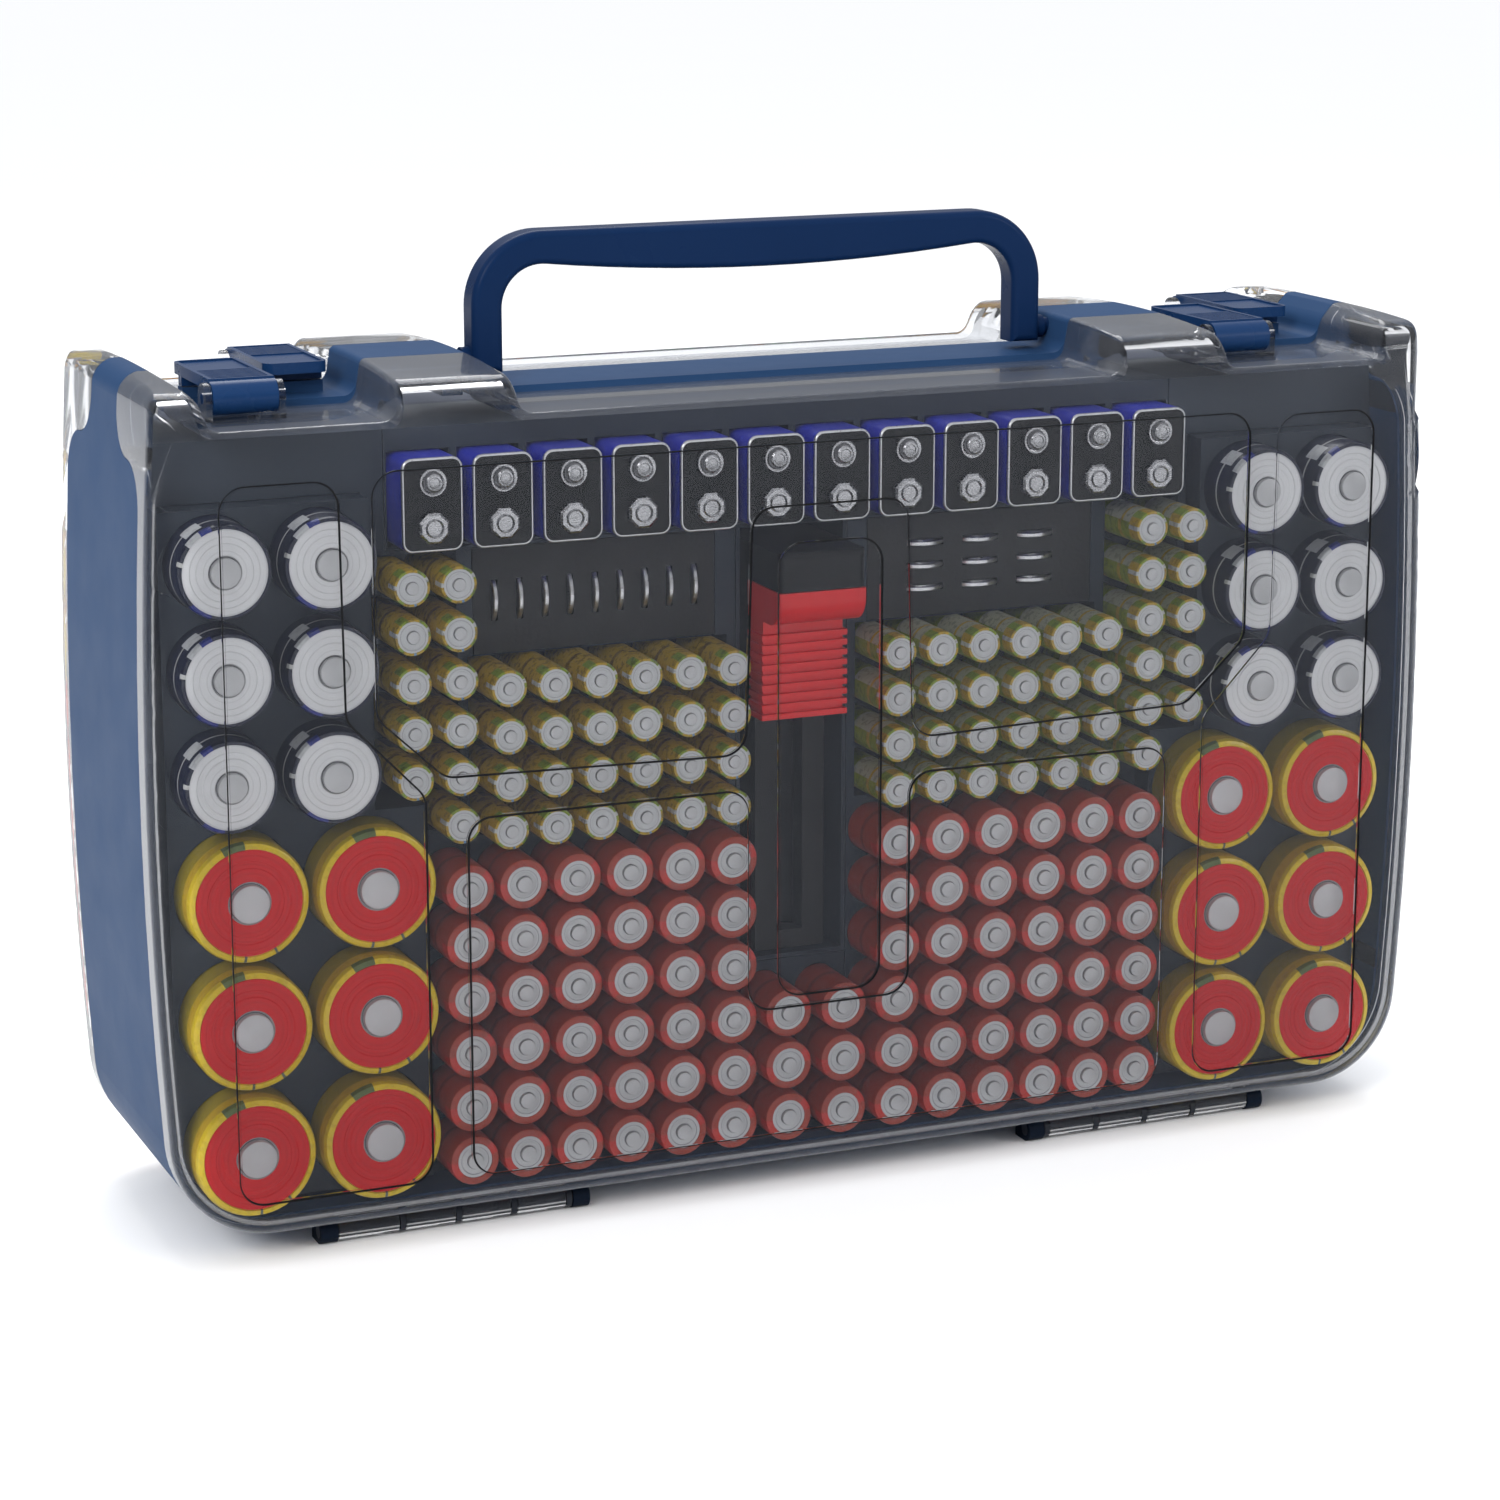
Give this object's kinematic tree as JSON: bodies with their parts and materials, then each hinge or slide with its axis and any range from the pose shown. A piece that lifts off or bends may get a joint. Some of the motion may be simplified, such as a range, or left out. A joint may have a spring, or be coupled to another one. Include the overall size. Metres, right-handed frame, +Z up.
{
  "type": "battery storage case",
  "caption": "Two-sided hard carrying case that stands on its hinges, with clear covers on both faces, racks full of dry cells, a sliding cell tester and a folding handle.",
  "frame": {"origin": "the middle of the case on the surface that its hinge blocks stand on", "axes": "+X to the right as the front is seen, +Y from the front cover to the rear cover, +Z up towards the handle"},
  "size_m": [0.393, 0.104, 0.2758],
  "materials": {
    "case_navy": "satin, finely grained",
    "cover_clear": "glossy, clear",
    "rack_dark": "satin",
    "tester_black": "satin",
    "tester_red": "glossy",
    "bare_steel": "bright",
    "cell_yellow": "glossy printed sleeve over a metal can",
    "cell_blue": "glossy printed sleeve over a metal can",
    "cell_orange": "glossy printed sleeve over a metal can",
    "cell_green": "glossy printed sleeve over a metal can",
    "cell_red": "glossy printed sleeve over a metal can",
    "cell_silver": "glossy printed sleeve over a metal can",
    "cell_purple": "glossy printed sleeve over a metal can",
    "cell_black": "glossy printed sleeve over a metal can"
  },
  "bodies": {
    "case": {"case_frame": "case_navy", "divider_panel": "rack_dark", "hinge_rod_front_left": "case_navy", "hinge_rod_front_right": "case_navy", "hinge_rod_rear_left": "case_navy", "hinge_rod_rear_right": "case_navy", "rack_left": "rack_dark", "rack_right": "rack_dark", "crate_left": "rack_dark", "crate_right": "rack_dark", "rack_centre": "rack_dark", "rack_nine_volt": "rack_dark", "rack_rear": "rack_dark", "tester_well": "rack_dark", "coin_panel_left": "rack_dark", "coin_panel_right": "rack_dark", "coin_cells_left": "bare_steel", "coin_cells_right": "bare_steel", "cells_d": "cell_yellow", "cells_c": "cell_blue", "cells_aa": "cell_orange", "cells_aaa": "cell_green", "cells_nine_volt": "cell_blue", "rear_long_cells": "cell_yellow", "rear_medium_cells": "cell_red", "rear_short_cells": "cell_silver", "rear_wide_cells": "cell_silver", "rear_centre_cells": "cell_purple", "rear_slim_cells": "cell_black", "rear_aaa_cells": "cell_green", "rear_mini_cells": "cell_green", "tester_body": "tester_black", "tester_cap_contact": "bare_steel"},
    "front_cover": {"front_cover": "cover_clear", "latch_pin_front_left": "bare_steel", "latch_pin_front_right": "bare_steel"},
    "rear_cover": {"rear_cover": "cover_clear", "latch_pin_rear_left": "bare_steel", "latch_pin_rear_right": "bare_steel"},
    "latch_front_left": {"latch_front_left": "case_navy"},
    "latch_front_right": {"latch_front_right": "case_navy"},
    "latch_rear_left": {"latch_rear_left": "case_navy"},
    "latch_rear_right": {"latch_rear_right": "case_navy"},
    "handle": {"handle": "case_navy"},
    "tester_head": {"tester_head": "tester_red", "tester_head_contact": "bare_steel"}
  },
  "joints": [
    {"name": "front_cover_hinge", "type": "hinge", "parent": "case", "child": "front_cover", "pos_m": [0, -0.039, 0.0036], "axis": [1, 0, 0], "range_deg": [0, 180]},
    {"name": "rear_cover_hinge", "type": "hinge", "parent": "case", "child": "rear_cover", "pos_m": [0, 0.039, 0.0036], "axis": [-1, 0, 0], "range_deg": [0, 180]},
    {"name": "latch_front_left_hinge", "type": "hinge", "parent": "front_cover", "child": "latch_front_left", "pos_m": [-0.1623, -0.0296, 0.2382], "axis": [1, 0, 0], "range_deg": [0, 100]},
    {"name": "latch_front_right_hinge", "type": "hinge", "parent": "front_cover", "child": "latch_front_right", "pos_m": [0.1407, -0.0296, 0.2382], "axis": [1, 0, 0], "range_deg": [0, 100]},
    {"name": "latch_rear_left_hinge", "type": "hinge", "parent": "rear_cover", "child": "latch_rear_left", "pos_m": [-0.1407, 0.0296, 0.2382], "axis": [-1, 0, 0], "range_deg": [0, 100]},
    {"name": "latch_rear_right_hinge", "type": "hinge", "parent": "rear_cover", "child": "latch_rear_right", "pos_m": [0.1623, 0.0296, 0.2382], "axis": [-1, 0, 0], "range_deg": [0, 100]},
    {"name": "handle_hinge", "type": "hinge", "parent": "case", "child": "handle", "pos_m": [0, 0, 0.2404], "axis": [1, 0, 0], "range_deg": [-90, 90]},
    {"name": "tester_head_slide", "type": "slide", "parent": "case", "child": "tester_head", "axis": [0, 0, -1], "range_m": [0, 0.06]}
  ]
}
